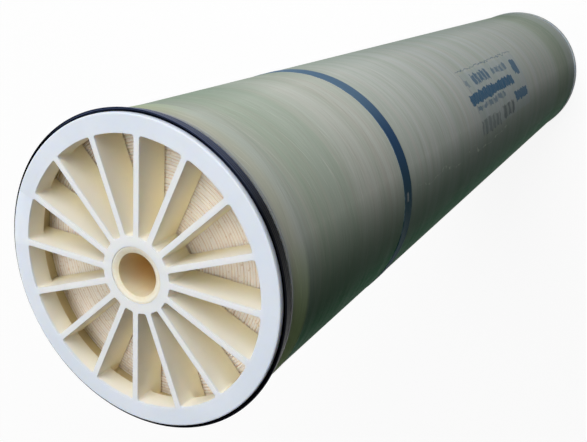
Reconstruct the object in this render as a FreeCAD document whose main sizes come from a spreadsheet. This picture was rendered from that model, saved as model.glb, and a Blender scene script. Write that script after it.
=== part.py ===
"""Spiral-wound reverse osmosis element, 8 inch by 40 inch.

The element stands on its brine end. Z runs along its axis and the origin is the centre of
the brine end cap's front face, so the feed end, which carries the seal, is on top.
"""
import FreeCAD, Part
import math
import os
import Sketcher

V = FreeCAD.Vector

# Driving dimensions in millimetres; counts are plain numbers.
SIZES = {
    "element_length": 1016.0,       # over the front faces of the two end caps
    # permeate tube
    "seat_radius": 14.3,            # bored out at both ends for the connector
    "seat_length": 60.0,
    "seat_wall": 4.2,
    "tube_bore_radius": 13.9,
    "tube_recess": 0.3,             # tube end below the cap's front face
    "lead_in_width": 3.2,           # lead-in for the connector's O-rings
    "lead_in_depth": 1.2,
    "permeate_hole_radius": 1.6,
    "permeate_hole_pitch": 80.0,
    "permeate_hole_count": 11,
    # membrane roll
    "turn_pitch": 3.1,              # one turn of leaf and spacer
    "turn_depth": 1.3,              # how far the turns stand out at the roll's ends
    "roll_end_gap": 2.0,            # between the spokes and the roll
    # end caps
    "hub_clearance": 0.15,          # hub over the tube
    "hub_wall": 6.35,
    "spoke_count": 16,
    "spoke_thickness": 3.9,
    "spoke_depth": 25.0,
    "window_corner": 1.6,
    "rim_width": 12.25,
    "rim_depth": 14.0,
    "flange_radius": 100.5,
    "flange_round": 0.9,
    "front_flange": 3.5,
    "seal_groove": 11.0,
    "seal_groove_depth": 3.5,
    "rear_flange": 1.5,
    "rear_flange_step": 0.3,        # rear flange radius below the front one
    "skirt_length": 19.0,
    "skirt_wall": 1.2,
    "skirt_clearance": 0.1,         # skirt over the roll
    # brine seal
    "seal_reach": 2.6,              # lip beyond the flange
    "seal_setback": 2.2,            # lip tip behind the cap's front face
    "seal_leg": 1.3,
    "seal_side_gap": 0.4,
    "seal_tip_land": 1.2,
    # fibreglass shell
    "shell_wall": 3.4,
    "shell_rise": 0.4,              # outside step over the skirts
    "shell_taper": 12.0,
    # blue band
    "band_distance": 203.5,         # from the feed end's front face
    "band_width": 15.5,
    "band_thickness": 0.35,
}

CUT_MARGIN = 2.0                    # cutting profiles run this far past what they cut


class Size:
    """A length held both as a number and as the sheet expression that gives it."""

    def __init__(self, value, text):
        self.value = value
        self.text = text

    def joined(self, sign, other, value):
        return Size(value, "(%s %s %s)" % (self.text, sign, other.text))

    def __add__(self, other):
        other = as_size(other)
        return self.joined("+", other, self.value + other.value)

    def __sub__(self, other):
        other = as_size(other)
        return self.joined("-", other, self.value - other.value)

    def __mul__(self, other):
        other = as_size(other)
        return self.joined("*", other, self.value * other.value)

    def __truediv__(self, other):
        other = as_size(other)
        return self.joined("/", other, self.value / other.value)


def as_size(thing):
    if isinstance(thing, Size):
        return thing
    return Size(float(thing), "%.6g" % thing)


def size(name):
    return Size(SIZES[name], "Sizes." + name)


def add_sheet(doc):
    sheet = doc.addObject("Spreadsheet::Sheet", "Sizes")
    for row, (name, value) in enumerate(SIZES.items(), start=1):
        sheet.set("A%d" % row, name)
        sheet.set("B%d" % row, "%g" % value)
        sheet.setAlias("B%d" % row, name)
    doc.recompute()


# Sketching

def origin_plane(body, role):
    return next(item for item in body.Origin.OriginFeatures if item.Role == role)


def add_sketch(body, name, role):
    sketch = body.newObject("Sketcher::SketchObject", name)
    sketch.AttachmentSupport = [(origin_plane(body, role), "")]
    sketch.MapMode = "FlatFace"
    return sketch


def bind(sketch, kind, where, length, name):
    """Add a driving constraint whose value is the given size."""
    index = sketch.addConstraint(Sketcher.Constraint(kind, *where, length.value))
    sketch.renameConstraint(index, name)
    sketch.setExpression("Constraints." + name, length.text)


def place_corner(sketch, line, corner, name):
    """Hold a line's start at (x, y); None in either place means on that axis."""
    across, up = corner
    if across is None:
        sketch.addConstraint(Sketcher.Constraint("PointOnObject", line, 1, -2))
    else:
        bind(sketch, "DistanceX", (-1, 1, line, 1), across, name + "_x")
    if up is None:
        sketch.addConstraint(Sketcher.Constraint("PointOnObject", line, 1, -1))
    else:
        bind(sketch, "DistanceY", (-1, 1, line, 1), up, name + "_y")


def corner_point(corner):
    return V(*[0.0 if part is None else part.value for part in corner], 0)


def draw_outline(sketch, corners):
    """Draw a closed outline of straight lines through the given corners."""
    points = [corner_point(corner) for corner in corners]
    ends = points[1:] + points[:1]
    lines = [Part.LineSegment(start, end) for start, end in zip(points, ends)]
    first = sketch.addGeometry(lines, False)[0]
    count = len(corners)
    for i in range(count):
        after = first + (i + 1) % count
        sketch.addConstraint(Sketcher.Constraint("Coincident", first + i, 2, after, 1))
    for i, corner in enumerate(corners):
        place_corner(sketch, first + i, corner, "corner_%d" % i)


def revolve_outline(body, name, corners):
    """Turn an outline of (radius, height) corners about the body's Z axis."""
    sketch = add_sketch(body, name + "_section", "XZ_Plane")
    draw_outline(sketch, corners)
    turned = body.newObject("PartDesign::Revolution", name + "_turned")
    turned.Profile = sketch
    turned.ReferenceAxis = (sketch, ["V_Axis"])
    turned.Angle = 360.0
    sketch.Visibility = False
    body.Document.recompute()
    return turned


def new_body(doc, label):
    body = doc.addObject("PartDesign::Body", label)
    body.Label = label
    return body


# Sizes that more than one piece uses

def tube_radius():
    return size("seat_radius") + size("seat_wall")


def hub_radius():
    return tube_radius() + size("hub_clearance") + size("hub_wall")


def rim_inner_radius():
    return size("flange_radius") - size("rim_width")


def skirt_radius():
    return size("flange_radius") - size("seal_groove_depth")


def skirt_inner_radius():
    return skirt_radius() - size("skirt_wall")


def roll_radius():
    return skirt_inner_radius() - size("skirt_clearance")


def groove_back():
    return size("front_flange") + size("seal_groove")


def shell_start():
    return groove_back() + size("rear_flange")


def skirt_end():
    return shell_start() + size("skirt_length")


def shell_radius():
    return roll_radius() + size("shell_wall")


def roll_end_depth():
    return size("spoke_depth") + size("roll_end_gap")


# Pieces

def make_permeate_tube(doc):
    """Centre tube with connector lead-ins and rows of cross-drilled permeate holes."""
    body = new_body(doc, "permeate_tube")
    bore = size("tube_bore_radius")
    seat = size("seat_radius")
    outer = tube_radius()
    mouth = seat + size("lead_in_width")
    lead_in = size("lead_in_depth")
    low = size("tube_recess")
    high = size("element_length") - low
    revolve_outline(body, "tube", [
        (bore, low + size("seat_length")),
        (seat, low + size("seat_length")),
        (seat, low + lead_in),
        (mouth, low),
        (outer, low),
        (outer, high),
        (mouth, high),
        (seat, high - lead_in),
        (seat, high - size("seat_length")),
        (bore, high - size("seat_length")),
    ])
    sketch = add_sketch(body, "permeate_hole_circle", "XZ_Plane")
    circle = Part.Circle(V(0, 1, 0), V(0, 0, 1), size("permeate_hole_radius").value)
    sketch.addGeometry(circle, False)
    sketch.addConstraint(Sketcher.Constraint("PointOnObject", 0, 3, -2))
    run = size("permeate_hole_pitch") * (size("permeate_hole_count") - 1)
    bind(sketch, "DistanceY", (-1, 1, 0, 3), (size("element_length") - run) / 2, "first")
    bind(sketch, "Radius", (0,), size("permeate_hole_radius"), "hole")
    drilled = body.newObject("PartDesign::Pocket", "permeate_hole")
    drilled.Profile = sketch
    drilled.Type = "ThroughAll"
    drilled.Midplane = True
    sketch.Visibility = False
    row = body.newObject("PartDesign::LinearPattern", "permeate_hole_row")
    row.Originals = [drilled]
    row.Direction = (sketch, ["V_Axis"])
    row.setExpression("Length", run.text)
    row.setExpression("Occurrences", "Sizes.permeate_hole_count")
    body.Tip = row
    return body


def draw_turns(sketch):
    """Draw the saw-tooth outline that cuts between the turns on one end of the roll."""
    pitch = size("turn_pitch")
    half = roll_length() / 2
    inner = tube_radius() - pitch
    reach = roll_radius().value + 2 * pitch.value - inner.value
    turns = math.ceil(reach / pitch.value)
    corners = [(inner + pitch * turns, half + CUT_MARGIN), (inner, half + CUT_MARGIN)]
    for turn in range(turns):
        ridge = inner + pitch * turn
        corners.append((ridge, half))
        corners.append((ridge + pitch / 2, half - size("turn_depth")))
    corners.append((inner + pitch * turns, half))
    draw_outline(sketch, corners)


def roll_length():
    return size("element_length") - roll_end_depth() * 2


def make_membrane_roll(doc):
    """Wound leaves as one solid, with the spiral of its turns in relief on both ends.

    The spiral is made of half turns: one half turns about the roll's axis and the other
    about a line half a pitch beside it, so that each half turn runs on into the next.
    """
    body = new_body(doc, "membrane_roll")
    sketch = add_sketch(body, "roll_circles", "XY_Plane")
    for name, radius in (("roll", roll_radius()), ("core", tube_radius())):
        circle = sketch.addGeometry(Part.Circle(V(), V(0, 0, 1), radius.value), False)
        sketch.addConstraint(Sketcher.Constraint("Coincident", circle, 3, -1, 1))
        bind(sketch, "Radius", (circle,), radius, name)
    wound = body.newObject("PartDesign::Pad", "roll_wound")
    wound.Profile = sketch
    wound.Midplane = True
    wound.setExpression("Length", (roll_length() + CUT_MARGIN).text)
    sketch.Visibility = False
    turns = add_sketch(body, "turns_outline", "XZ_Plane")
    draw_turns(turns)
    offset = size("turn_pitch") / 2
    axis = turns.addGeometry(Part.LineSegment(V(offset.value, 0, 0), V(offset.value, 9, 0)), True)
    turns.addConstraint(Sketcher.Constraint("Vertical", axis))
    turns.addConstraint(Sketcher.Constraint("PointOnObject", axis, 1, -1))
    bind(turns, "DistanceX", (-1, 1, axis, 1), offset, "half_pitch")
    bind(turns, "DistanceY", (axis, 1, axis, 2), size("turn_pitch"), "axis_length")
    turns.Visibility = False
    halves = []
    for name, line, backwards in (("near", "V_Axis", False), ("far", "Axis0", True)):
        half = body.newObject("PartDesign::Groove", "turns_" + name + "_half")
        half.Profile = turns
        half.ReferenceAxis = (turns, [line])
        half.Angle = 180.0
        half.Reversed = backwards
        halves.append(half)
    both = body.newObject("PartDesign::Mirrored", "turns_other_end")
    both.Originals = halves
    both.MirrorPlane = (origin_plane(body, "XY_Plane"), [""])
    body.Tip = both
    body.setExpression("Placement.Base.z", (size("element_length") / 2).text)
    return body


def round_arc(centre, radius, start, end):
    return Part.ArcOfCircle(Part.Circle(centre, V(0, 0, 1), radius), start, end)


def polar(radius, angle):
    return V(radius * math.cos(angle), radius * math.sin(angle), 0)


def window_shapes(inner, outer, half, corner):
    """Four sides and four corner arcs of a window, in order round it from its first side."""
    step = 2 * math.pi / SIZES["spoke_count"]
    quarter = math.pi / 2
    in_turn = math.asin((half + corner) / (inner + corner))
    out_turn = math.asin((half + corner) / (outer - corner))
    in_centres = [polar(inner + corner, angle) for angle in (in_turn, step - in_turn)]
    out_centres = [polar(outer - corner, angle) for angle in (out_turn, step - out_turn)]
    beside = corner * V(math.sin(step), -math.cos(step), 0)
    return [
        Part.LineSegment(in_centres[0] - V(0, corner, 0), out_centres[0] - V(0, corner, 0)),
        round_arc(out_centres[0], corner, -quarter, out_turn),
        round_arc(V(), outer, out_turn, step - out_turn),
        round_arc(out_centres[1], corner, step - out_turn, step + quarter),
        Part.LineSegment(out_centres[1] - beside, in_centres[1] - beside),
        round_arc(in_centres[1], corner, step + quarter, step - in_turn + math.pi),
        round_arc(V(), inner, in_turn, step - in_turn),
        round_arc(in_centres[0], corner, in_turn + math.pi, 3 * quarter),
    ]


def draw_window(sketch, inner, outer):
    """Draw the opening between the spoke along X and the next one round.

    Its sides run beside the two spokes, its ends are arcs about the axis, and its corners
    are rounded.
    """
    half = size("spoke_thickness") / 2
    corner = size("window_corner")
    shapes = window_shapes(inner.value, outer.value, half.value, corner.value)
    side, round_a, far, round_b, other, round_c, near, round_d = sketch.addGeometry(shapes, False)
    step = 2 * math.pi / SIZES["spoke_count"]
    spoke = sketch.addGeometry(Part.LineSegment(V(), polar(inner.value, step)), True)
    for joint in ((side, 2, round_a, 1), (round_a, 2, far, 1), (far, 2, round_b, 1),
                  (round_b, 2, other, 1), (other, 2, round_c, 1), (round_c, 2, near, 2),
                  (near, 1, round_d, 1), (round_d, 2, side, 1)):
        sketch.addConstraint(Sketcher.Constraint("Tangent", *joint))
    for centred in ((far, 3), (near, 3), (spoke, 1)):
        sketch.addConstraint(Sketcher.Constraint("Coincident", *centred, -1, 1))
    sketch.addConstraint(Sketcher.Constraint("Horizontal", side))
    sketch.addConstraint(Sketcher.Constraint("Parallel", other, spoke))
    bind(sketch, "DistanceY", (-1, 1, side, 1), half, "beside_first")
    bind(sketch, "Distance", (-1, 1, other), half, "beside_next")
    bind(sketch, "Radius", (near,), inner, "inner")
    bind(sketch, "Radius", (far,), outer, "outer")
    bind(sketch, "Distance", (spoke, 1, spoke, 2), inner, "spoke_line")
    for i, arc in enumerate((round_a, round_b, round_c, round_d)):
        bind(sketch, "Radius", (arc,), corner, "corner_%d" % i)
    index = sketch.addConstraint(Sketcher.Constraint("Angle", -1, 1, spoke, 1, step))
    sketch.renameConstraint(index, "spoke_angle")
    sketch.setExpression("Constraints.spoke_angle", "360 deg / Sizes.spoke_count")


def cut_all_round(body, name, sketch):
    """Cut a sketch through the body in +Z, once between each pair of spokes."""
    cut = body.newObject("PartDesign::Pocket", name)
    cut.Profile = sketch
    cut.Type = "ThroughAll"
    cut.Reversed = True
    sketch.Visibility = False
    pattern = body.newObject("PartDesign::PolarPattern", name + "_all_round")
    pattern.Originals = [cut]
    pattern.Axis = (sketch, ["N_Axis"])
    pattern.Angle = 360.0
    pattern.setExpression("Occurrences", "Sizes.spoke_count")
    body.Tip = pattern
    body.Document.recompute()
    return pattern


def make_end_cap(doc, label):
    """Anti-telescoping cap: hub, spokes, rim with seal groove, and skirt, in one moulding.

    Its front face is at Z = 0 and its skirt points up.
    """
    body = new_body(doc, label)
    mouth = tube_radius() + size("hub_clearance")
    flange = size("flange_radius")
    rear = flange - size("rear_flange_step")
    rounding = size("flange_round")
    revolve_outline(body, label, [
        (mouth, None),
        (flange - rounding, None),
        (flange - rounding * 0.3, rounding * 0.3),
        (flange, rounding),
        (flange, size("front_flange")),
        (skirt_radius(), size("front_flange")),
        (skirt_radius(), groove_back()),
        (rear, groove_back()),
        (rear, shell_start()),
        (skirt_radius(), shell_start()),
        (skirt_radius(), skirt_end()),
        (skirt_inner_radius(), skirt_end()),
        (skirt_inner_radius(), size("spoke_depth")),
        (mouth, size("spoke_depth")),
    ])
    window = add_sketch(body, label + "_window_outline", "XY_Plane")
    draw_window(window, hub_radius(), rim_inner_radius())
    cut_all_round(body, label + "_window", window)
    relief = add_sketch(body, label + "_relief_outline", "XY_Plane")
    relief.setExpression("AttachmentOffset.Base.z", "Sizes.rim_depth")
    inside = rim_inner_radius() - size("window_corner") * 3
    draw_window(relief, inside, skirt_inner_radius())
    cut_all_round(body, label + "_relief", relief)
    return body


def make_brine_seal(doc):
    """U-cup seal whose open side and flared lip face the feed end."""
    body = new_body(doc, "brine_seal")
    length = size("element_length")
    floor = skirt_radius()
    leg = size("seal_leg")
    back = groove_back() - size("seal_side_gap")
    front = size("front_flange") + size("seal_side_gap")
    tip = size("flange_radius") + size("seal_reach")
    root = back - leg * 2.5
    depths = [
        (floor, back),
        (floor, front + leg),
        (floor + leg * 0.8, front + leg * 0.6),
        (floor + leg, root),
        (floor + leg * 1.7, root),
        (tip - leg * 0.7, size("seal_setback") + leg * 0.3),
        (tip, size("seal_setback")),
        (tip, size("seal_setback") + size("seal_tip_land")),
        (tip - leg * 1.2, root),
        (floor + leg * 1.2, back),
    ]
    revolve_outline(body, "seal", [(radius, length - depth) for radius, depth in depths])
    return body


def make_fibreglass_shell(doc):
    """Wound shell over the roll and both skirts, a little thicker outside the skirts."""
    body = new_body(doc, "fibreglass_shell")
    outer = shell_radius()
    raised = outer + size("shell_rise")
    inner = roll_radius()
    over = skirt_radius()
    thin = skirt_end() + size("shell_taper")
    half = [
        (over, shell_start()),
        (raised, shell_start()),
        (raised, skirt_end()),
        (outer, thin),
    ]
    back = [
        (inner, thin),
        (inner, skirt_end()),
        (over, skirt_end()),
    ]
    length = size("element_length")
    top = [(radius, length - height) for radius, height in reversed(half)]
    top_back = [(radius, length - height) for radius, height in reversed(back)]
    corners = half + top + top_back[:2] + back[1:]
    revolve_outline(body, "shell", corners)
    return body


def make_blue_band(doc):
    """Thin coloured hoop round the shell."""
    body = new_body(doc, "blue_band")
    high = size("element_length") - size("band_distance")
    low = high - size("band_width")
    inner = shell_radius()
    outer = inner + size("band_thickness")
    revolve_outline(body, "band", [(inner, low), (outer, low), (outer, high), (inner, high)])
    return body


def make_pieces(doc):
    feed_cap = make_end_cap(doc, "feed_end_cap")
    feed_cap.Placement.Rotation = FreeCAD.Rotation(V(1, 0, 0), 180)
    feed_cap.setExpression("Placement.Base.z", "Sizes.element_length")
    return [
        make_permeate_tube(doc),
        make_membrane_roll(doc),
        feed_cap,
        make_end_cap(doc, "brine_end_cap"),
        make_brine_seal(doc),
        make_fibreglass_shell(doc),
        make_blue_band(doc),
    ]


def check_document(doc, pieces):
    for item in doc.Objects:
        if "Invalid" in item.State or "Error" in item.State:
            raise RuntimeError("%s failed: %s" % (item.Name, item.State))
    for piece in pieces:
        if piece.Shape.isNull() or not piece.Shape.isValid():
            raise RuntimeError(piece.Label + " has no valid shape")


def main():
    doc = FreeCAD.newDocument("RoElement")
    add_sheet(doc)
    pieces = make_pieces(doc)
    doc.recompute()
    check_document(doc, pieces)
    os.makedirs("parts", exist_ok=True)
    for piece in pieces:
        piece.Shape.exportStep("parts/%s.step" % piece.Label)


main()
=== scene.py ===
import math

import bmesh
import bpy
from mathutils import Matrix, Vector


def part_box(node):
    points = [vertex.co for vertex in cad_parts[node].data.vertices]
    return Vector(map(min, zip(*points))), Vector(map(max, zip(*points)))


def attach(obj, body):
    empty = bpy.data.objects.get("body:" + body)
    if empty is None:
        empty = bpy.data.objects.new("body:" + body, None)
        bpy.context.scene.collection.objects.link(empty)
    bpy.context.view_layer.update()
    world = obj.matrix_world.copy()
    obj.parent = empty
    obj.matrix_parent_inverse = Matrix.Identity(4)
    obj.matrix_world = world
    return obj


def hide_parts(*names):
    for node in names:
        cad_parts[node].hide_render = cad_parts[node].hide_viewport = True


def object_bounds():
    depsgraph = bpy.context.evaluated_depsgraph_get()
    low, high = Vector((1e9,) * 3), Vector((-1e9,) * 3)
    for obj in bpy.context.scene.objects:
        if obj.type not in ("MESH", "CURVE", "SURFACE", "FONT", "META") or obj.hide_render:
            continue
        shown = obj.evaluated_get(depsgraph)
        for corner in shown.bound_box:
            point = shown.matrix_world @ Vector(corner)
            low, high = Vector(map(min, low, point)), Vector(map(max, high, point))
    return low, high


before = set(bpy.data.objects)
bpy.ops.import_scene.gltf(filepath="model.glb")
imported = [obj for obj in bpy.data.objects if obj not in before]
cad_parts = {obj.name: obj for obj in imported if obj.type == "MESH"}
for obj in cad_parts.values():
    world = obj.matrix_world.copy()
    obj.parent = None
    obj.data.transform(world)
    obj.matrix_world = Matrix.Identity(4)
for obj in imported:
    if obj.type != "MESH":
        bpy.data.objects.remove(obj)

CAD_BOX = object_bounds()
MM = 0.001

# --- sizes and places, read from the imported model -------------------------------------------
LENGTH = CAD_BOX[1].z
MIDDLE = Vector((0.0, 0.0, LENGTH / 2))
ROLL_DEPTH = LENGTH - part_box("membrane_roll")[1].z

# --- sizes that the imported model's boxes don't give -------------------------------------------
RIM_INSIDE = 0.08825            # radius of the windows' outer wall
SKIRT_INSIDE = 0.0958
TUBE_BORE = 0.0145
TUBE_RADIUS = 0.0185
ROLL_RADIUS = 0.0957
LEAF_PITCH = 0.00215            # of the fine spiral on the roll's ends
LEAF_RELIEF = 0.0006
SOFT_EDGE = 0.0008              # rounding of the caps' moulded edges

# --- the camera and its directions -----------------------------------------------------------
CAMERA_PLACE = Vector((-0.05004, -0.34151, 1.36703))
CAMERA_RIGHT = Vector((-0.57532, -0.67128, -0.46732)).normalized()
CAMERA_UP = Vector((0.81519, -0.51734, -0.26045)).normalized()
CAMERA_BACK = Vector((-0.06693, -0.53079, 0.84485)).normalized()
CAMERA_LENS = 48.418
CAMERA_SHIFT = (0.0064, -0.0311)


def make_camera():
    data = bpy.data.cameras.new("camera")
    data.lens = CAMERA_LENS
    data.sensor_width = 36.0
    data.shift_x, data.shift_y = CAMERA_SHIFT
    data.clip_start = 0.01
    data.clip_end = 50.0
    camera = bpy.data.objects.new("camera", data)
    bpy.context.scene.collection.objects.link(camera)
    turn = Matrix((CAMERA_RIGHT, CAMERA_UP, CAMERA_BACK)).transposed()
    camera.matrix_world = Matrix.Translation(CAMERA_PLACE) @ turn.to_4x4()
    bpy.context.scene.camera = camera


# --- node trees ------------------------------------------------------------------------------
class Tree:
    """The node tree of a material or the world, with short calls for the nodes in use here."""

    def __init__(self, owner):
        self.owner = owner
        owner.use_nodes = True
        self.nodes = owner.node_tree.nodes
        self.nodes.clear()

    def add(self, kind, settings=None, **inputs):
        node = self.nodes.new(kind)
        for key, value in (settings or {}).items():
            setattr(node, key, value)
        for key, value in inputs.items():
            self.put(node.inputs[key.replace("_", " ")], value)
        return node

    def put(self, socket, value):
        if isinstance(value, bpy.types.NodeSocket):
            self.owner.node_tree.links.new(value, socket)
        else:
            socket.default_value = value

    def math(self, operation, *values, clamp=False):
        node = self.nodes.new("ShaderNodeMath")
        node.operation = operation
        node.use_clamp = clamp
        for socket, value in zip(node.inputs, values):
            self.put(socket, value)
        return node.outputs[0]

    def place(self):
        split = self.add("ShaderNodeSeparateXYZ", Vector=self.point())
        return split.outputs[0], split.outputs[1], split.outputs[2]

    def point(self):
        return self.add("ShaderNodeTexCoord").outputs["Object"]

    def stretch(self, scale):
        node = self.add("ShaderNodeMapping", Vector=self.point())
        node.inputs["Scale"].default_value = scale
        return node.outputs[0]

    def noise(self, vector, scale, detail=3.0):
        node = self.add("ShaderNodeTexNoise", Vector=vector, Scale=scale, Detail=detail)
        return node.outputs["Fac"]

    def radius(self, x, y):
        return self.math("SQRT", self.math("ADD", self.math("MULTIPLY", x, x),
                                           self.math("MULTIPLY", y, y)))

    def degrees(self, x, y):
        """The angle round the element, from -180 to 180."""
        return self.math("MULTIPLY", self.math("ARCTAN2", y, x), 180.0 / math.pi)

    def facing(self, degrees, middle):
        """1 where the surface faces the middle angle, 0 at its sides and -1 behind."""
        off = self.math("SUBTRACT", degrees, middle)
        return self.math("COSINE", self.math("MULTIPLY", off, math.pi / 180.0))

    def slab(self, value, low, high, slope):
        """1 between two values and 0 outside, with edges as steep as the slope says."""
        off = self.math("ABSOLUTE", self.math("SUBTRACT", value, (low + high) / 2))
        left = self.math("SUBTRACT", (high - low) / 2, off)
        return self.math("MULTIPLY_ADD", left, slope, 0.5, clamp=True)

    def ramp(self, value, stops):
        node = self.add("ShaderNodeValToRGB", Fac=value)
        points = node.color_ramp.elements
        while len(points) < len(stops):
            points.new(1.0)
        for point, (place, colour) in zip(points, stops):
            point.position = place
            point.color = colour
        return node.outputs[0]

    def span(self, value, low, high, to_low=0.0, to_high=1.0, smooth=True):
        node = self.nodes.new("ShaderNodeMapRange")
        node.interpolation_type = "SMOOTHSTEP" if smooth else "LINEAR"
        for socket, number in zip(node.inputs, (value, low, high, to_low, to_high)):
            self.put(socket, number)
        return node.outputs[0]

    def mix(self, factor, first, second, blend="MIX"):
        node = self.nodes.new("ShaderNodeMix")
        node.data_type = "RGBA"
        node.blend_type = blend
        self.put(node.inputs["Factor"], factor)
        self.put(node.inputs[6], first)
        self.put(node.inputs[7], second)
        return node.outputs[2]

    def bump(self, height, distance, strength):
        node = self.add("ShaderNodeBump", Height=height, Distance=distance, Strength=strength)
        return node.outputs[0]

    def finish(self, colour, roughness, normal, **constants):
        """Closes the material with one shader. The constants go on the shader's own sockets."""
        shader = self.add("ShaderNodeBsdfPrincipled", Base_Color=colour, Roughness=roughness,
                          Normal=normal, **constants)
        self.add("ShaderNodeOutputMaterial", Surface=shader.outputs[0])
        return self.owner


def tone(red, green, blue):
    """A colour given as 0-255 display values, turned into the linear values that nodes use."""
    def linear(value):
        value /= 255.0
        return value / 12.92 if value <= 0.04045 else ((value + 0.055) / 1.055) ** 2.4
    return (linear(red), linear(green), linear(blue), 1.0)


def dress(node, material):
    """Puts a material on a node of the CAD model."""
    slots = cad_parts[node].data.materials
    if len(slots) == 0:
        slots.append(material)
    for index in range(len(slots)):
        slots[index] = material


# --- helpers for the looks -------------------------------------------------------------------
def lanes(tree, length, thickness, tilt, across="x"):
    """Coordinates drawn out round the shell, whose noise looks like strands at a slight tilt."""
    node = tree.add("ShaderNodeMapping", {"vector_type": "TEXTURE"}, Vector=tree.point())
    node.inputs["Scale"].default_value = (length, length, thickness)
    turn = (tilt, 0.0, 0.0) if across == "x" else (0.0, tilt, 0.0)
    node.inputs["Rotation"].default_value = turn
    return node.outputs[0]


def depth_from_end(tree, z):
    """How far a point lies inside the nearer end face."""
    from_middle = tree.math("ABSOLUTE", tree.math("SUBTRACT", z, LENGTH / 2))
    return tree.math("SUBTRACT", LENGTH / 2, from_middle)


def mm_from_feed_end(tree, z):
    return tree.math("MULTIPLY", tree.math("SUBTRACT", LENGTH, z), 1000.0)


def soft_edges(node, width):
    """Rounds a CAD node's moulded edges with modifiers, and leaves its mesh as it is."""
    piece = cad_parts[node]
    weld = piece.modifiers.new("join", "WELD")
    weld.merge_threshold = 0.00001
    flat = piece.modifiers.new("faces", "DECIMATE")
    flat.decimate_type = "DISSOLVE"
    flat.angle_limit = math.radians(0.5)
    bevel = piece.modifiers.new("edges", "BEVEL")
    bevel.width = width
    bevel.segments = 3
    bevel.limit_method = "ANGLE"
    bevel.angle_limit = math.radians(40.0)
    bevel.harden_normals = True
    bevel.use_clamp_overlap = True


def put_in_scene(name, mesh):
    """A new piece of the object, which rides with its one body."""
    piece = bpy.data.objects.new(name, mesh)
    bpy.context.scene.collection.objects.link(piece)
    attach(piece, "root")
    return piece


def smooth_mesh(bm, name, sharp_angle):
    mesh = bpy.data.meshes.new(name)
    bmesh.ops.recalc_face_normals(bm, faces=bm.faces)
    bm.to_mesh(mesh)
    bm.free()
    mesh.shade_smooth()
    mesh.set_sharp_from_angle(angle=math.radians(sharp_angle))
    return mesh


# --- new pieces ------------------------------------------------------------------------------
def spiral_point(step, spoke, spokes, top, inwards):
    """A point of the roll's end. Four steps make one turn: gap, leaf flank, leaf top, flank."""
    turn = step / 4 + spoke / spokes - 1
    angle = 2 * math.pi * spoke / spokes
    uneven = 0.05 * math.sin(5 * angle + 0.9 * turn) + 0.04 * math.sin(11 * angle - 1.7 * turn)
    radius = TUBE_RADIUS + LEAF_PITCH * (turn + uneven)
    drop = (1.0, 0.22, 0.0, 0.22)[step % 4] * LEAF_RELIEF
    drop *= 0.8 + 0.3 * math.sin(7 * angle + 2.3 * turn) * math.sin(3 * angle - 0.7 * turn)
    if not TUBE_RADIUS < radius < ROLL_RADIUS:
        radius = min(max(radius, TUBE_RADIUS), ROLL_RADIUS)
        drop = 0.0
    return Vector((radius * math.cos(angle), radius * math.sin(angle), top + inwards * drop))


def spiral_end(bm, top, inwards, spokes=168):
    """One end of the roll, with its leaves standing as one long spiral ridge."""
    steps = 4 * (int((ROLL_RADIUS - TUBE_RADIUS) / LEAF_PITCH) + 3)
    rows = [[bm.verts.new(spiral_point(step, spoke, spokes, top, inwards))
             for spoke in range(spokes)] for step in range(steps)]
    for step in range(steps - 5):
        for spoke in range(spokes):
            following = spoke + 1
            shift = 0 if following < spokes else 4
            following %= spokes
            bm.faces.new((rows[step][spoke], rows[step + shift][following],
                          rows[step + shift + 1][following], rows[step + 1][spoke]))


def build_roll():
    """The wound leaves: a fine spiral on both ends, and plain walls that tube and shell hide."""
    low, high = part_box("membrane_roll")
    bm = bmesh.new()
    spiral_end(bm, high.z, -1.0)
    spiral_end(bm, low.z, 1.0)
    bmesh.ops.remove_doubles(bm, verts=bm.verts, dist=0.00001)
    bmesh.ops.dissolve_degenerate(bm, edges=bm.edges, dist=0.00001)
    loose = [vert for vert in bm.verts if not vert.link_faces]
    bmesh.ops.delete(bm, geom=loose, context="VERTS")
    middle = (TUBE_RADIUS + ROLL_RADIUS) / 2
    for outer in (True, False):
        rim = [edge for edge in bm.edges if edge.is_boundary
               and (edge.verts[0].co.xy.length > middle) == outer]
        bmesh.ops.bridge_loops(bm, edges=rim)
    piece = put_in_scene("wound_roll", smooth_mesh(bm, "wound_roll", 50.0))
    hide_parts("membrane_roll")
    return piece


# The seal's section: mm outside the lip's tip radius, and mm behind the lip's front.
SEAL_INNER = [(-6.1, 11.9), (-6.1, 3.0), (-5.9, 2.6), (-5.06, 2.48), (-4.9, 3.0), (-4.8, 8.65),
              (-3.89, 8.65)]
SEAL_LIP = [(-0.91, 0.39), (-0.7, 0.1), (-0.3, 0.0), (-0.06, 0.16), (0.0, 0.5), (0.0, 0.9)]
SEAL_HEEL = [(-1.9, 9.2), (-4.3, 11.75), (-4.7, 11.9)]
SEAL_STEPS = 192
RIB_POINTS = 13
RIB_START = 1.2
RIB_STEP = 0.6
RIB_HEIGHT = 0.10
LIP_SLOPE = 0.2


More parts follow.
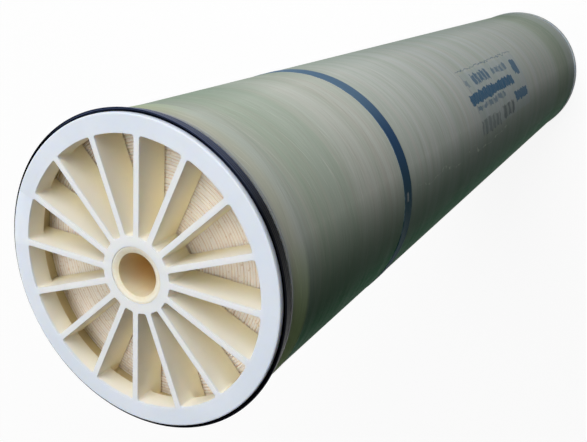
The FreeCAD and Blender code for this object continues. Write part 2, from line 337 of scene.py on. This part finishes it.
def build_seal():
    """The brine seal, with a rounded lip, fine ribs and its open side towards the feed."""
    low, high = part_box("brine_seal")
    tip = high.x
    front = high.z
    ribs = []
    for index in range(RIB_POINTS):
        depth = RIB_START + index * RIB_STEP
        swell = RIB_HEIGHT * math.cos(math.pi / 2 * index)
        ribs.append((-0.12 - LIP_SLOPE * (depth - RIB_START) + swell, depth))
    section = SEAL_INNER + SEAL_LIP + ribs + SEAL_HEEL
    ring = [(tip + out * MM, front - depth * MM) for out, depth in section]
    bm = bmesh.new()
    steps = SEAL_STEPS
    turns = [[bm.verts.new((radius * math.cos(2 * math.pi * step / steps),
                            radius * math.sin(2 * math.pi * step / steps), height))
              for radius, height in ring] for step in range(steps)]
    for step in range(steps):
        here, ahead = turns[step], turns[(step + 1) % steps]
        for index in range(len(ring)):
            after = (index + 1) % len(ring)
            bm.faces.new((here[index], ahead[index], ahead[after], here[after]))
    piece = put_in_scene("seal_lip", smooth_mesh(bm, "seal_lip", 50.0))
    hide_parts("brine_seal")
    return piece


# --- materials -------------------------------------------------------------------------------
LIT_SIDE = -50.0                # degrees round the element, where the painted light and painted highlight are strongest
# degrees round the element, where the painted shade is deepest
DARK_SIDE = -165.0
RIB_PITCH = 0.0024


def cap_plastic():
    """White moulded plastic, with painted cool light on its faces and painted warm bounce light in
    the windows.
    """
    tree = Tree(bpy.data.materials.new("cap_plastic"))
    x, y, z = tree.place()
    depth = depth_from_end(tree, z)
    radius = tree.radius(x, y)
    window = tree.math("MULTIPLY", tree.span(radius, RIM_INSIDE + 0.0008, RIM_INSIDE + 0.0001),
                       tree.span(depth, 0.0002, 0.0022))
    behind = tree.math("MULTIPLY", tree.span(radius, SKIRT_INSIDE + 0.0006, SKIRT_INSIDE),
                       tree.span(depth, 0.004, 0.006))
    inside = tree.math("MAXIMUM", window, behind)
    cloud = tree.noise(tree.point(), 14.0, 3.0)
    fine = tree.noise(tree.point(), 240.0, 3.0)
    # painted cool light: the rim's face is tinted blue where it takes the light
    outer = tree.mix(tree.span(cloud, 0.35, 0.7), tone(219, 227, 238), tone(227, 233, 242))
    face = tree.mix(tree.span(radius, 0.080, 0.092), tone(233, 235, 236), outer)
    face = tree.mix(tree.span(depth, 0.0120, 0.0146), face, tone(168, 172, 172))
    # painted shade: the brine cap's outer rim goes grey-green
    brine_rim_painted_shade = tree.math("MULTIPLY", tree.span(z, 0.030, 0.015),
                           tree.span(radius, 0.0985, 0.0995))
    face = tree.mix(tree.math("MULTIPLY", brine_rim_painted_shade, 0.8), face, tone(150, 160, 156))
    # painted warm bounce light: the window walls turn from pale to cream and golden with depth
    wall = tree.mix(tree.span(depth, 0.002, 0.026), tone(238, 234, 222), tone(250, 240, 206))
    # painted shade: darker golden brown in the recess behind the rim
    undercut_painted_shade = tree.math("MULTIPLY", behind, tree.span(radius, 0.0935, 0.0952))
    wall = tree.mix(tree.math("MULTIPLY", undercut_painted_shade, 0.7), wall, tone(206, 180, 124))
    colour = tree.mix(inside, face, wall)
    colour = tree.mix(tree.span(fine, 0.55, 0.8, 0.0, 0.10), colour, tone(214, 214, 206))
    rough = tree.span(cloud, 0.3, 0.7, 0.34, 0.44)
    grain = tree.noise(tree.point(), 1400.0, 2.0)
    normal = tree.bump(grain, 0.00003, 0.5)
    return tree.finish(colour, rough, normal, Subsurface_Weight=0.35, Subsurface_Scale=0.006,
                       Subsurface_Radius=(1.0, 0.75, 0.45), Specular_IOR_Level=0.18)


def tube_plastic():
    """Ivory tube: pale at its mouths, with painted warm bounce light that turns it golden further
    in.
    """
    tree = Tree(bpy.data.materials.new("tube_plastic"))
    x, y, z = tree.place()
    depth = depth_from_end(tree, z)
    radius = tree.radius(x, y)
    drawn = tree.noise(tree.stretch((1.0, 1.0, 0.08)), 260.0, 3.0)
    # painted warm bounce light: golden deeper into the tube
    bore_painted_bounce = tree.mix(tree.span(depth, 0.001, 0.030), tone(232, 221, 194), tone(244, 208, 142))
    colour = tree.mix(tree.span(radius, TUBE_BORE, 0.0172), bore_painted_bounce, tone(238, 231, 212))
    colour = tree.mix(tree.span(drawn, 0.4, 0.75, 0.0, 0.25), colour, tone(226, 200, 158))
    rough = tree.span(drawn, 0.3, 0.7, 0.3, 0.45)
    normal = tree.bump(drawn, 0.00006, 0.5)
    return tree.finish(colour, rough, normal, Subsurface_Weight=0.35, Subsurface_Scale=0.008,
                       Subsurface_Radius=(1.0, 0.7, 0.35), Specular_IOR_Level=0.4)


def wound_membrane():
    """The wound leaves seen on edge: pale sheet edges, darker glue lines and fine spacer net."""
    tree = Tree(bpy.data.materials.new("wound_membrane"))
    x, y, z = tree.place()
    depth = depth_from_end(tree, z)
    radius = tree.radius(x, y)
    ridge = tree.span(depth, ROLL_DEPTH + LEAF_RELIEF * 0.9, ROLL_DEPTH + LEAF_RELIEF * 0.15)
    wobble = tree.noise(tree.point(), 90.0, 2.0)
    layer = tree.math("ADD", tree.math("DIVIDE", radius, LEAF_PITCH / 4),
                      tree.math("MULTIPLY", wobble, 1.5))
    wave = tree.math("SINE", tree.math("MULTIPLY", layer, 2 * math.pi))
    cloud = tree.noise(tree.point(), 34.0, 4.0)
    colour = tree.mix(tree.span(cloud, 0.3, 0.7), tone(252, 244, 234), tone(253, 249, 243))
    colour = tree.mix(tree.span(wave, -1.0, 1.0, 0.12, 0.0), colour, tone(218, 184, 148))
    colour = tree.mix(tree.span(ridge, 0.0, 1.0, 0.5, 0.0), colour, tone(216, 178, 138))
    specks = tree.noise(tree.point(), 420.0, 2.0)
    colour = tree.mix(tree.span(specks, 0.62, 0.72, 0.0, 0.35), colour, tone(196, 150, 100))
    height = tree.math("ADD", tree.math("MULTIPLY", wave, 0.5), tree.math("MULTIPLY", specks, 1.2))
    normal = tree.bump(height, 0.0002, 0.6)
    return tree.finish(colour, 0.75, normal, Specular_IOR_Level=0.2, Subsurface_Weight=0.2,
                       Subsurface_Scale=0.004, Subsurface_Radius=(1.0, 0.7, 0.4))


def seal_rubber():
    """Black rubber with faint mould flow, a little dust, and a dark blue painted highlight on its
    lit side with painted highlight lines along the ribs.
    """
    tree = Tree(bpy.data.materials.new("seal_rubber"))
    flow = tree.noise(lanes(tree, 0.05, 0.0012, 0.01), 1.0, 3.0)
    dust = tree.noise(tree.point(), 900.0, 2.0)
    colour = tree.mix(tree.span(flow, 0.3, 0.7), tone(8, 9, 13), tone(16, 17, 24))
    x, y, z = tree.place()
    # painted highlight: a dark blue sheen on the lit side, with painted highlight lines along the
    # rib crests
    painted_highlight = tree.span(tree.facing(tree.degrees(x, y), LIT_SIDE), 0.60, 0.97)
    lines = tree.math("SINE", tree.math("MULTIPLY", depth_from_end(tree, z),
                                        2 * math.pi / RIB_PITCH))
    painted_rib_highlight = tree.mix(tree.span(lines, -0.5, 0.7), tone(34, 40, 60), tone(92, 104, 136))
    colour = tree.mix(tree.math("MULTIPLY", painted_highlight, 0.9), colour, painted_rib_highlight)
    colour = tree.mix(tree.span(dust, 0.68, 0.8, 0.0, 0.12), colour, tone(60, 62, 72))
    rough = tree.span(flow, 0.3, 0.7, 0.22, 0.30)
    normal = tree.bump(flow, 0.00006, 0.4)
    return tree.finish(colour, rough, normal, Specular_IOR_Level=0.015,
                       Specular_Tint=(0.75, 0.85, 1.0, 1.0))


# Tones along the shell: distance from the feed end in mm, and the colour there.
SHELL_TONES = (
    (16, (207, 211, 211)), (19, (203, 205, 190)), (24, (209, 213, 195)), (29, (213, 217, 203)),
    (33, (221, 226, 219)), (37, (219, 224, 217)), (41, (203, 211, 201)), (60, (196, 208, 192)),
    (100, (200, 212, 198)), (140, (226, 230, 221)), (190, (226, 230, 221)), (240, (221, 227, 221)),
    (320, (219, 225, 221)), (420, (209, 215, 213)), (600, (209, 217, 215)), (740, (207, 213, 211)),
    (850, (201, 211, 205)), (880, (176, 190, 174)), (945, (160, 176, 160)), (960, (183, 195, 189)),
    (1000, (199, 209, 211)))

# Painted shade on the shell's dark side and a painted dark reflection near 5 degrees: middle angle
# in degrees, reach as two cosines, amount and tint.
PAINTED_SHADE_SIDES = ((DARK_SIDE, 0.62, 0.98, 1.0, (0.03, 0.15, 0.07, 1.0)),
               (5.0, 0.50, 0.90, 0.6, (0.26, 0.40, 0.32, 1.0)))

# Plain printed bars: lengthwise span in mm from the feed end, span round the roll in degrees,
# pitch of the blocks in mm (0 is one solid bar) and strength of the ink.
PRINT_BARS = (
    (438, 447, -93.0, -88.2, 0.0, 0.45), (466, 526, -93.8, -86.6, 13.0, 0.8),
    (542, 606, -92.8, -88.2, 17.0, 0.65), (426, 606, -104.2, -97.6, 0.0, 0.95),
    (438, 552, -108.8, -105.8, 21.0, 0.6), (628, 650, -99.6, -88.2, 0.0, 0.85),
    (592, 654, -116.3, -110.2, 0.0, 0.9))
STAMP_BARS = ((438, 514, -123.6, -115.0, 15.0, 0.55), (526, 580, -122.0, -114.2, 19.0, 0.75))
PATCH_SPAN = (437, 664)
PATCH_ROUND = (-123, -84)
SCRATCH_SPAN = (232, 548)
SCRATCH_LINE = (-0.018, -120.2)     # degrees for each mm along, and degrees at the feed end
PRINT_FRAME = ((434, 664, -82.7, -82.0, 0.0, 0.6), (436.2, 438, -110.0, -84.0, 0.0, 0.25))


def bars(tree, along, round_it, rows):
    """Adds up the printed bars of a table, as one factor."""
    ragged = tree.noise(tree.point(), 130.0, 2.0)
    along = tree.math("ADD", along, tree.span(ragged, 0.3, 0.7, -2.2, 2.2))
    round_it = tree.math("ADD", round_it, tree.span(ragged, 0.3, 0.7, 0.9, -0.9))
    total = None
    for low, high, first, last, pitch, strength in rows:
        length = tree.slab(along, low, high, 0.7)
        height = tree.slab(round_it, first, last, 3.0)
        one = tree.math("MULTIPLY", tree.math("MULTIPLY", length, height), strength)
        if pitch:
            wave = tree.math("SINE", tree.math("MULTIPLY", along, 2 * math.pi / pitch))
            one = tree.math("MULTIPLY", one, tree.span(wave, -1.0, 0.1, 0.35, 1.0))
        total = one if total is None else tree.math("MAXIMUM", total, one)
    return total


def shell_resin():
    """Wound glass strands in greenish resin, with soft tone bands, scratches, plain print and
    painted shade on its dark side.
    """
    tree = Tree(bpy.data.materials.new("shell_resin"))
    x, y, z = tree.place()
    along = mm_from_feed_end(tree, z)
    round_it = tree.degrees(x, y)
    wander = tree.noise(lanes(tree, 0.3, 0.03, 0.06), 1.0, 2.0)
    shifted = tree.math("ADD", along, tree.span(wander, 0.3, 0.7, -9.0, 9.0))
    edges = tree.span(along, 40.0, 60.0)
    placed = tree.math("ADD", tree.math("MULTIPLY", shifted, edges),
                       tree.math("MULTIPLY", along, tree.math("SUBTRACT", 1.0, edges)))
    colour = tree.ramp(tree.math("DIVIDE", placed, 1000.0 * LENGTH),
                       [(place / (1000.0 * LENGTH), tone(*rgb)) for place, rgb in SHELL_TONES])
    band_one = tree.noise(lanes(tree, 0.5, 0.018, 0.05), 1.0, 2.0)
    band_two = tree.noise(lanes(tree, 0.4, 0.007, -0.06, "y"), 1.0, 2.0)
    first = tree.noise(lanes(tree, 0.06, 0.0022, 0.03), 1.0, 3.0)
    second = tree.noise(lanes(tree, 0.05, 0.0014, -0.16, "y"), 1.0, 3.0)
    third = tree.noise(lanes(tree, 0.06, 0.0018, 0.15, "y"), 1.0, 3.0)
    colour = tree.mix(tree.span(band_one, 0.35, 0.7, 0.0, 0.35), colour, tone(170, 190, 166))
    colour = tree.mix(tree.span(band_two, 0.4, 0.75, 0.0, 0.3), colour, tone(216, 206, 196))
    colour = tree.mix(tree.span(first, 0.35, 0.65, 0.14, 0.0), colour, tone(150, 164, 144))
    colour = tree.mix(tree.span(second, 0.50, 0.75, 0.0, 0.25), colour, tone(222, 226, 216))
    colour = tree.mix(tree.span(third, 0.50, 0.75, 0.0, 0.18), colour, tone(160, 164, 144))
    strand = tree.noise(lanes(tree, 0.04, 0.0009, -0.20, "y"), 1.0, 2.0)
    colour = tree.mix(tree.span(strand, 0.64, 0.74, 0.0, 0.6), colour, tone(234, 238, 228))

    # painted shade: the shell darkens and greens towards its dark side, yellower near the feed
    # end, with a painted dark reflection near 5 degrees
    for middle, low, high, amount, tint in PAINTED_SHADE_SIDES:
        side = tree.span(tree.facing(round_it, middle), low, high, 0.0, amount, smooth=False)
        side_shade_tint = tree.mix(tree.span(along, 35.0, 41.0), (0.55, 0.74, 0.34, 1.0), tint)
        colour = tree.mix(side, colour, side_shade_tint, "MULTIPLY")

    patch = tree.math("MULTIPLY", tree.slab(along, *PATCH_SPAN, 0.5),
                      tree.slab(round_it, *PATCH_ROUND, 1.0))
    colour = tree.mix(tree.math("MULTIPLY", patch, 0.3), colour, tone(176, 194, 202))
    worn = tree.span(tree.noise(lanes(tree, 0.01, 0.0009, 0.05), 1.0, 3.0), 0.3, 0.6, 0.75, 1.0)
    ink = tree.math("MULTIPLY", bars(tree, along, round_it, PRINT_BARS + PRINT_FRAME), worn)
    colour = tree.mix(ink, colour, tone(46, 100, 138))
    stamp = tree.math("MULTIPLY", bars(tree, along, round_it, STAMP_BARS), worn)
    colour = tree.mix(stamp, colour, tone(84, 96, 98))

    line = tree.math("MULTIPLY_ADD", along, *SCRATCH_LINE)
    sway = tree.noise(tree.point(), 22.0, 2.0)
    line = tree.math("ADD", line, tree.span(sway, 0.3, 0.7, -2.6, 2.6))
    off = tree.math("ABSOLUTE", tree.math("SUBTRACT", round_it, line))
    ragged = tree.noise(tree.point(), 150.0, 3.0)
    clump = tree.span(tree.noise(tree.point(), 38.0, 2.0), 0.42, 0.58)
    width = tree.math("MULTIPLY", tree.span(ragged, 0.48, 0.70, 0.0, 1.3), clump)
    scuff = tree.math("MULTIPLY", tree.span(tree.math("SUBTRACT", off, width), 0.2, -0.3),
                      tree.slab(along, *SCRATCH_SPAN, 0.1))
    colour = tree.mix(tree.math("MULTIPLY", scuff, 0.55), colour, tone(214, 226, 210))

    rough = tree.span(first, 0.3, 0.7, 0.55, 0.68)
    relief = tree.math("ADD", tree.math("MULTIPLY", first, 0.8),
                       tree.math("MULTIPLY", second, 0.6))
    relief = tree.math("ADD", relief, tree.math("MULTIPLY", band_two, 1.5))
    normal = tree.bump(relief, 0.00025, 0.5)
    return tree.finish(colour, rough, normal, Specular_IOR_Level=0.02)


def band_tape():
    """Blue tape with slight clouds, painted light on its lit side, painted shade on its dark side,
    paler worn edges and one pale nick.
    """
    tree = Tree(bpy.data.materials.new("band_tape"))
    x, y, z = tree.place()
    along = mm_from_feed_end(tree, z)
    round_it = tree.degrees(x, y)
    cloud = tree.noise(lanes(tree, 0.05, 0.003, 0.03), 1.0, 3.0)
    # painted light: the tape turns paler towards the lit side
    painted_light = tree.span(tree.facing(round_it, LIT_SIDE), 0.65, 0.98)
    colour = tree.mix(tree.span(cloud, 0.3, 0.7), tone(44, 76, 112), tone(56, 88, 126))
    colour = tree.mix(painted_light, colour, tone(98, 128, 156))
    # painted shade: the tape darkens towards the dark side
    shaded = tree.span(tree.facing(round_it, DARK_SIDE), 0.35, 0.90)
    colour = tree.mix(shaded, colour, (0.45, 0.60, 0.35, 1.0), "MULTIPLY")
    low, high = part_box("blue_band")
    middle = 1000.0 * (LENGTH - (low.z + high.z) / 2)
    half = 500.0 * (high.z - low.z)
    edge = tree.math("ABSOLUTE", tree.math("SUBTRACT", along, middle))
    ragged = tree.noise(tree.point(), 120.0, 3.0)
    reach = tree.math("ADD", edge, tree.span(ragged, 0.3, 0.7, -1.0, 0.6))
    worn = tree.span(reach, half - 0.5, half + 0.4, 0.0, 0.8)
    colour = tree.mix(worn, colour, tone(120, 138, 150))
    nick = tree.math("MULTIPLY", tree.slab(along, 208.5, 212.0, 1.5),
                     tree.slab(round_it, -128.0, -124.0, 1.2))
    colour = tree.mix(tree.math("MULTIPLY", nick, 0.75), colour, tone(176, 184, 184))
    rough = tree.span(cloud, 0.3, 0.7, 0.55, 0.7)
    return tree.finish(colour, rough, tree.bump(cloud, 0.0001, 0.5), Specular_IOR_Level=0.03)


# --- floor, lamps and backdrop ---------------------------------------------------------------
FLOOR_HALF = 12.0
FLOOR_DROP = 0.0005             # below the element, so that the two faces don't fight
FLOOR_BOUNCE = 0.04             # the floor's grey for the light that it sends to the object
FLOOR_SEEN = 0.15               # its grey where it is seen, which takes the shadow
FLOOR_GLOW = 0.88               # its own light where it is seen
SKY_STRENGTH = 0.03
LAMP_DISTANCE = 3.2

# Name, azimuth and elevation in degrees, side in metres, level on a facing surface.
LAMPS = (("key", -42.0, 42.0, 2.6, 0.86),
         ("top", -60.0, 86.0, 1.8, 0.32),
         ("back", 70.0, 5.0, 1.6, 0.26))


def seen_directly(tree):
    """1 for camera, glossy and transmission rays, which show the pale background."""
    path = tree.nodes.new("ShaderNodeLightPath").outputs
    found = tree.math("MAXIMUM", path["Is Camera Ray"], path["Is Glossy Ray"])
    return tree.math("MAXIMUM", found, path["Is Transmission Ray"])


def make_floor():
    mesh = bpy.data.meshes.new("floor")
    corners = [(x * FLOOR_HALF, y * FLOOR_HALF, 0.0)
               for x, y in ((-1, -1), (1, -1), (1, 1), (-1, 1))]
    mesh.from_pydata(corners, [], [(0, 1, 2, 3)])
    floor = bpy.data.objects.new("floor", mesh)
    floor.location.z = -FLOOR_DROP
    bpy.context.scene.collection.objects.link(floor)
    tree = Tree(bpy.data.materials.new("floor_paper"))
    seen = seen_directly(tree)
    paper = tree.mix(seen, (FLOOR_BOUNCE,) * 3 + (1.0,), (FLOOR_SEEN,) * 3 + (1.0,))
    plain = tree.add("ShaderNodeBsdfDiffuse", Color=paper)
    glow = tree.add("ShaderNodeEmission", Strength=tree.math("MULTIPLY", seen, FLOOR_GLOW))
    both = tree.add("ShaderNodeAddShader")
    tree.put(both.inputs[0], plain.outputs[0])
    tree.put(both.inputs[1], glow.outputs[0])
    tree.add("ShaderNodeOutputMaterial", Surface=both.outputs[0])
    mesh.materials.append(tree.owner)


def make_world():
    world = bpy.data.worlds.new("studio")
    bpy.context.scene.world = world
    tree = Tree(world)
    level = tree.span(seen_directly(tree), 0.0, 1.0, SKY_STRENGTH, 1.0)
    sky = tree.add("ShaderNodeBackground", Color=(1.0, 1.0, 1.0, 1.0), Strength=level)
    tree.add("ShaderNodeOutputWorld", Surface=sky.outputs[0])


def make_lamp(name, azimuth, elevation, size, level):
    """A square soft lamp aimed at the element's middle from these two angles."""
    turn, rise = math.radians(azimuth), math.radians(elevation)
    direction = Vector((math.cos(turn) * math.cos(rise), math.sin(turn) * math.cos(rise),
                        math.sin(rise)))
    data = bpy.data.lights.new(name, "AREA")
    data.shape = "SQUARE"
    data.size = size
    data.energy = level * math.pi ** 2 * LAMP_DISTANCE ** 2
    lamp = bpy.data.objects.new(name, data)
    bpy.context.scene.collection.objects.link(lamp)
    lamp.location = MIDDLE + direction * LAMP_DISTANCE
    lamp.rotation_mode = "QUATERNION"
    lamp.rotation_quaternion = direction.to_track_quat("Z", "Y")
    lamp.visible_camera = False


make_camera()
make_floor()
make_world()
for lamp_row in LAMPS:
    make_lamp(*lamp_row)
cap = cap_plastic()
dress("feed_end_cap", cap)
dress("brine_end_cap", cap)
dress("permeate_tube", tube_plastic())
build_roll().data.materials.append(wound_membrane())
build_seal().data.materials.append(seal_rubber())
dress("fibreglass_shell", shell_resin())
dress("blue_band", band_tape())
soft_edges("feed_end_cap", SOFT_EDGE)
soft_edges("brine_end_cap", SOFT_EDGE)
bpy.context.scene.view_settings.view_transform = "Standard"
